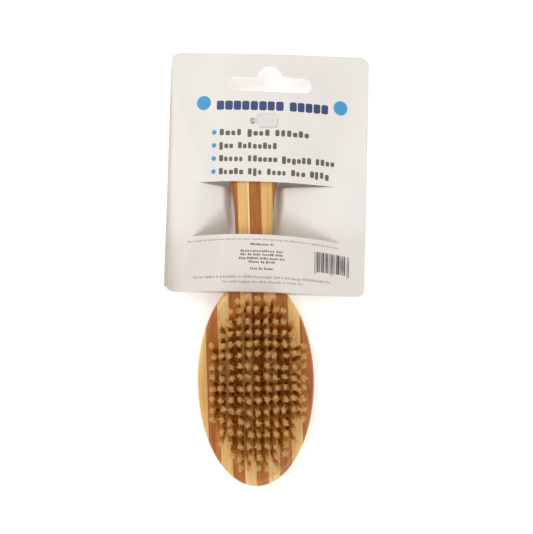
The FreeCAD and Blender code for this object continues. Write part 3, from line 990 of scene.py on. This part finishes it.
def printing():
    """All the ink on the card: blocks and discs only, with no lettering."""
    navy = ink("navy_ink", rgb(52, 68, 118), rgb(120, 130, 160))
    blue = ink("blue_ink", rgb(74, 158, 208), rgb(120, 180, 214))
    grey = ink("grey_ink", rgb(104, 94, 90), rgb(150, 142, 136))
    pale = ink("pale_ink", rgb(176, 168, 160), rgb(205, 198, 190))
    black = ink("bar_ink", rgb(58, 54, 54), rgb(120, 116, 114))
    chance = np.random.default_rng(PRINT_SEED)

    title = Print()
    for start, end, count in TITLE_WORDS:
        place = (start * MM, end * MM, TITLE_V * MM, TITLE_HEIGHT * MM)
        block_line(title, chance, *place, [count], "panel", True)
    title.piece("title_blocks", navy)

    dots = Print()
    for u, v in TITLE_DISCS:
        dots.disc(u * MM, v * MM, TITLE_DISC_R * MM, "panel")
    text = Print()
    for number, (words, end) in enumerate(LINES):
        v = (FIRST_LINE_V - LINE_PITCH * number) * MM
        dots.disc(LINE_DISC_U * MM, v, LINE_DISC_R * MM, "panel")
        place = (LINE_START_U * MM, end * MM, v - LINE_DROP * MM, LINE_HEIGHT * MM)
        block_line(text, chance, *place, words, "panel")
    dots.piece("blue_dots", blue)
    text.piece("line_blocks", grey)

    small = Print()
    for v, width, height, words in CENTRED_ROWS:
        start = CENTRED_U * MM - width * MM / 2
        block_line(small, chance, start, start + width * MM, v * MM, height * MM, words, "band")
    small.piece("small_blocks", grey)

    faint = Print()
    for start, end, v, height, words in FAINT_ROWS:
        block_line(faint, chance, start * MM, end * MM, v * MM, height * MM, words, "band")
    faint.piece("faint_blocks", pale)

    bars = Print()
    low, high = BARS_V - GUARD_DROP, BARS_HEIGHT + GUARD_DROP
    for guard in (BARS_START, (BARS_START + BARS_END) / 2, BARS_END):
        for side in (-GUARD_OFFSET, GUARD_OFFSET):
            bars.block(guard + side, low, GUARD_WIDTH, high, "band", BAR_CORNER_R)
    u = BARS_START + GUARD_MARGIN
    while u < BARS_END - GUARD_MARGIN:
        width = (BAR_THINNEST + BAR_SPREAD * chance.random() ** 2) * MM
        bars.block(u, BARS_V, width, BARS_HEIGHT, "band", BAR_CORNER_R)
        u += width + (BAR_GAP + BAR_SPREAD * chance.random() ** 2) * MM
    bars.piece("bar_pattern", black)


# ----------------------------------------------------------------------- studio

SKY_COLOUR = (1.0, 0.99, 0.975, 1.0)
SKY_STRENGTH = 0.54
# lamps: (name, place, power). They stay off the vertical, so that the varnish mirrors neither.
LAMPS = [("key", (-0.35, 0.5, 0.8), 3.2), ("fill", (0.25, -0.55, 0.8), 2.8)]
LAMP_SIZE = 0.6
LAMP_TARGET = (0.0, 0.04, 0.0)
FLOOR_HALF = 3
FLOOR_GLOW = 0.35
# the floor's glow fades out under the card, between these distances from the slits' middle
SHADE_CENTRE = (0.007, 0.090)
SHADE_ACROSS = (0.030, 0.052)
SHADE_ALONG = (0.022, 0.046)
# the camera looks straight down, from CAMERA_HEIGHT above the height that it is framed at
CAMERA_PLACE = (0.0061, 0.0573)
CAMERA_FOCUS_Z = 0.013
CAMERA_HEIGHT = 0.60
CAMERA_FIELD = 0.2707
CAMERA_TURN = math.radians(-0.65)
SENSOR_WIDTH = 36.0


def studio():
    far = FLOOR_HALF
    corners = [(-far, -far, 0), (far, -far, 0), (far, far, 0), (-far, far, 0)]
    mesh_piece("floor", corners, [(0, 1, 2, 3)], floor_finish())
    world = bpy.data.worlds.new("studio")
    bpy.context.scene.world = world
    world.use_nodes = True
    background = world.node_tree.nodes["Background"]
    background.inputs["Color"].default_value = SKY_COLOUR
    background.inputs["Strength"].default_value = SKY_STRENGTH
    for name, place, power in LAMPS:
        lamp(name, place, power)


def floor_finish():
    """A lit table top. It glows all round the brush but not under the hang card."""
    finish = Finish("floor", Emission_Strength=FLOOR_GLOW)
    place = finish.place()
    off_x = (finish.axis(place, 0) - SHADE_CENTRE[0]).size().fade(*SHADE_ACROSS)
    off_y = (finish.axis(place, 1) - SHADE_CENTRE[1]).size().fade(*SHADE_ALONG)
    glow = off_x.maths("MAXIMUM", off_x, off_y)
    cloud = finish.noise(place, 3.0)
    tone = finish.blend(cloud, rgb(247, 247, 246), rgb(250, 250, 250))
    return finish.done(
        Base_Color=tone,
        Emission_Color=finish.blend(glow, (0, 0, 0, 1), (1, 1, 1, 1)),
        Roughness=0.85 + cloud * 0.1,
    )


def lamp(name, place, power):
    light = bpy.data.lights.new(name, "AREA")
    light.energy = power
    light.size = LAMP_SIZE
    made = bpy.data.objects.new(name, light)
    bpy.context.scene.collection.objects.link(made)
    made.location = place
    aim = Vector(LAMP_TARGET) - made.location
    made.rotation_euler = aim.to_track_quat("-Z", "Y").to_euler()


def camera():
    view = bpy.data.cameras.new("camera")
    view.sensor_width = SENSOR_WIDTH
    view.lens = SENSOR_WIDTH * CAMERA_HEIGHT / CAMERA_FIELD
    made = bpy.data.objects.new("camera", view)
    bpy.context.scene.collection.objects.link(made)
    made.location = (*CAMERA_PLACE, CAMERA_FOCUS_Z + CAMERA_HEIGHT)
    made.rotation_euler = (0, 0, CAMERA_TURN)
    bpy.context.scene.camera = made
    bpy.context.scene.view_settings.view_transform = "Standard"


def dress(node, material):
    """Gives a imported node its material. Its shape stays as it is."""
    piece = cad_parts[node]
    piece.data.materials.clear()
    piece.data.materials.append(material)


def main():
    camera()
    studio()
    for seed, name in enumerate(sorted(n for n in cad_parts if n.startswith("bamboo")), 1):
        colours = LIGHT_BAMBOO if "light" in name else DARK_BAMBOO
        dress(name, bamboo(name, colours, seed))
    # the tufts get the painted depth shade in full, the loose bristles none
    bristle_rows(bristle("bristle", 1.0))
    stray_bristles(bristle("loose_bristle", 0.0))
    hang_card(card_board())
    printing()
    milky = nylon()
    dress("tag_bar", milky)
    dress("tag_paddle", milky)
    dress("tuft_anchors", flat_wire())


main()
